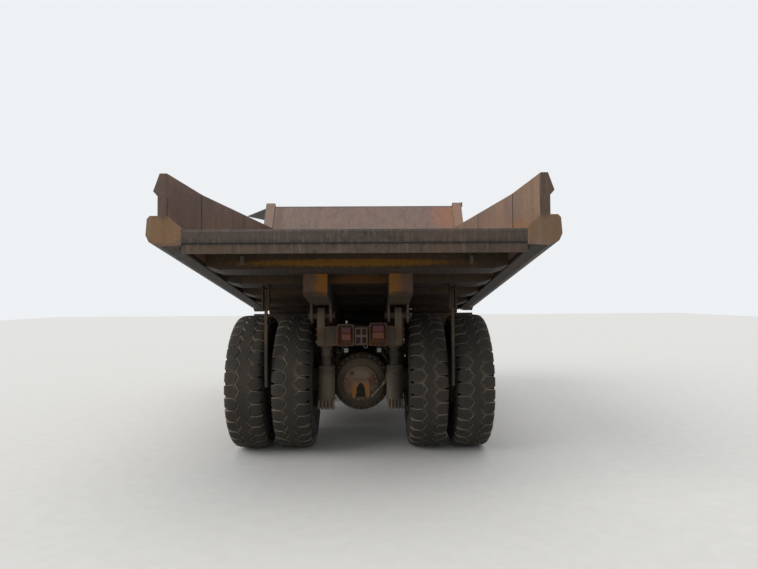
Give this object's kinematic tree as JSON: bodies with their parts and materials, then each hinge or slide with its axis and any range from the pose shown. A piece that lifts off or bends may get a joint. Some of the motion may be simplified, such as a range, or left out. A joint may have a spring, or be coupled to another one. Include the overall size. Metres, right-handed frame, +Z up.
{
  "type": "rigid two-axle mining dump truck",
  "caption": "Rigid-frame mining haul truck with tipping body, hoist cylinders, twin rear wheels, steered front wheels and a cab under the body's canopy.",
  "frame": {"origin": "on the ground, under the middle of the truck's length and width", "axes": "+X to the truck's right, +Y forward, +Z up"},
  "size_m": [5.3, 8.06, 4.05],
  "materials": {
    "yellow_paint": "old yellow enamel under dust",
    "worn_steel": "rusty paint worn by loads",
    "dark_iron": "oily dark paint",
    "dusty_steel": "dusty machined steel",
    "tyre": "dusty rubber",
    "glass": "clear cab glass",
    "lamp_lens": "coloured lenses",
    "seat_fabric": "dark woven cover",
    "black_plastic": "moulded black"
  },
  "bodies": {
    "chassis": {"frame": "yellow_paint", "engine_block": "dark_iron", "driveline": "dark_iron", "radiator_grille": "yellow_paint", "hood": "yellow_paint", "decks": "yellow_paint", "bumper": "yellow_paint", "headlamps": "lamp_lens", "ladders": "yellow_paint", "handrails": "yellow_paint", "cab_shell": "yellow_paint", "cab_glass": "glass", "operator_seat": "seat_fabric", "steering_column": "black_plastic", "side_tanks": "yellow_paint", "air_cleaners": "yellow_paint", "rear_axle": "yellow_paint", "suspension_struts": "dusty_steel", "steering_cylinders": "dark_iron", "tail_lamps": "lamp_lens", "mirrors": "black_plastic"},
    "cab_door": {"cab_door": "yellow_paint", "door_glass": "glass"},
    "knuckle_left": {"knuckle_left": "dark_iron"},
    "front_wheel_left": {"front_rim_left": "yellow_paint", "front_tyre_left": "tyre"},
    "rear_wheels_left": {"rear_rims_left": "yellow_paint", "rear_tyres_left": "tyre"},
    "steering_rod_left": {"steering_rod_left": "dusty_steel"},
    "hoist_barrel_left": {"hoist_barrel_left": "yellow_paint"},
    "hoist_stage_left": {"hoist_stage_left": "dusty_steel"},
    "hoist_rod_left": {"hoist_rod_left": "dusty_steel"},
    "rock_ejector_left": {"rock_ejector_left": "worn_steel"},
    "knuckle_right": {"knuckle_right": "dark_iron"},
    "front_wheel_right": {"front_rim_right": "yellow_paint", "front_tyre_right": "tyre"},
    "rear_wheels_right": {"rear_rims_right": "yellow_paint", "rear_tyres_right": "tyre"},
    "steering_rod_right": {"steering_rod_right": "dusty_steel"},
    "hoist_barrel_right": {"hoist_barrel_right": "yellow_paint"},
    "hoist_stage_right": {"hoist_stage_right": "dusty_steel"},
    "hoist_rod_right": {"hoist_rod_right": "dusty_steel"},
    "rock_ejector_right": {"rock_ejector_right": "worn_steel"},
    "tie_rod": {"tie_rod": "dusty_steel"},
    "bed": {"bed_floor": "worn_steel", "bed_frame": "worn_steel", "bed_ribs": "worn_steel", "bed_side_left": "worn_steel", "bed_side_right": "worn_steel", "bed_front_wall": "worn_steel", "bed_canopy": "worn_steel"}
  },
  "joints": [
    {"name": "steer_left", "type": "hinge", "parent": "chassis", "child": "knuckle_left", "pos_m": [-1.13, 2.24, 0.925], "axis": [0, 0, 1], "range_deg": [-36, 36]},
    {"name": "steer_right", "type": "hinge", "parent": "chassis", "child": "knuckle_right", "pos_m": [1.13, 2.24, 0.925], "axis": [0, 0, 1], "range_deg": [-36, 36]},
    {"name": "front_wheel_spin_left", "type": "hinge", "parent": "knuckle_left", "child": "front_wheel_left", "pos_m": [-1.55, 2.24, 0.925], "axis": [1, 0, 0], "continuous": true},
    {"name": "front_wheel_spin_right", "type": "hinge", "parent": "knuckle_right", "child": "front_wheel_right", "pos_m": [1.55, 2.24, 0.925], "axis": [1, 0, 0], "continuous": true},
    {"name": "rear_wheel_spin_left", "type": "hinge", "parent": "chassis", "child": "rear_wheels_left", "pos_m": [-1.195, -1.47, 0.925], "axis": [1, 0, 0], "continuous": true},
    {"name": "rear_wheel_spin_right", "type": "hinge", "parent": "chassis", "child": "rear_wheels_right", "pos_m": [1.195, -1.47, 0.925], "axis": [1, 0, 0], "continuous": true},
    {"name": "tie_rod_pivot", "type": "hinge", "parent": "knuckle_left", "child": "tie_rod", "pos_m": [-1.13, 1.9, 0.89], "axis": [0, 0, 1], "range_deg": [-36, 36]},
    {"name": "steering_slide_left", "type": "slide", "parent": "chassis", "child": "steering_rod_left", "axis": [1, 0, 0], "range_m": [-0.15, 0.15]},
    {"name": "steering_slide_right", "type": "slide", "parent": "chassis", "child": "steering_rod_right", "axis": [1, 0, 0], "range_m": [-0.15, 0.15]},
    {"name": "bed_tip", "type": "hinge", "parent": "chassis", "child": "bed", "pos_m": [0, -2.24, 1.863], "axis": [1, 0, 0], "range_deg": [0, 55]},
    {"name": "hoist_swing_left", "type": "hinge", "parent": "chassis", "child": "hoist_barrel_left", "pos_m": [-0.78, -0.27, 0.62], "axis": [1, 0, 0], "range_deg": [0, 25]},
    {"name": "hoist_stage_slide_left", "type": "slide", "parent": "hoist_barrel_left", "child": "hoist_stage_left", "axis": [0, 0.1544, 0.988], "range_m": [0, 0.929]},
    {"name": "hoist_rod_slide_left", "type": "slide", "parent": "hoist_stage_left", "child": "hoist_rod_left", "axis": [0, 0.1544, 0.988], "range_m": [0, 0.929]},
    {"name": "hoist_swing_right", "type": "hinge", "parent": "chassis", "child": "hoist_barrel_right", "pos_m": [0.78, -0.27, 0.62], "axis": [1, 0, 0], "range_deg": [0, 25]},
    {"name": "hoist_stage_slide_right", "type": "slide", "parent": "hoist_barrel_right", "child": "hoist_stage_right", "axis": [0, 0.1544, 0.988], "range_m": [0, 0.929]},
    {"name": "hoist_rod_slide_right", "type": "slide", "parent": "hoist_stage_right", "child": "hoist_rod_right", "axis": [0, 0.1544, 0.988], "range_m": [0, 0.929]},
    {"name": "ejector_swing_left", "type": "hinge", "parent": "bed", "child": "rock_ejector_left", "pos_m": [-1.195, -2.34, 2.19], "axis": [1, 0, 0], "range_deg": [-55, 0]},
    {"name": "ejector_swing_right", "type": "hinge", "parent": "bed", "child": "rock_ejector_right", "pos_m": [1.195, -2.34, 2.19], "axis": [1, 0, 0], "range_deg": [-55, 0]},
    {"name": "door_hinge", "type": "hinge", "parent": "chassis", "child": "cab_door", "pos_m": [-1.874, 2.13, 2.7], "axis": [0, 0, 1], "range_deg": [0, 85]}
  ],
  "couplings": [
    {"joint": "steer_right", "follows": "steer_left", "ratio": 1},
    {"joint": "tie_rod_pivot", "follows": "steer_left", "ratio": -1},
    {"joint": "steering_slide_left", "follows": "steer_left", "m_per_rad": 0.2339},
    {"joint": "steering_slide_right", "follows": "steer_left", "m_per_rad": 0.2339},
    {"joint": "hoist_swing_left", "follows": "bed_tip", "ratio": 0.4151},
    {"joint": "hoist_stage_slide_left", "follows": "bed_tip", "m_per_rad": 0.9577},
    {"joint": "hoist_rod_slide_left", "follows": "bed_tip", "m_per_rad": 0.9577},
    {"joint": "hoist_swing_right", "follows": "bed_tip", "ratio": 0.4151},
    {"joint": "hoist_stage_slide_right", "follows": "bed_tip", "m_per_rad": 0.9577},
    {"joint": "hoist_rod_slide_right", "follows": "bed_tip", "m_per_rad": 0.9577},
    {"joint": "ejector_swing_left", "follows": "bed_tip", "ratio": -1},
    {"joint": "ejector_swing_right", "follows": "bed_tip", "ratio": -1}
  ]
}
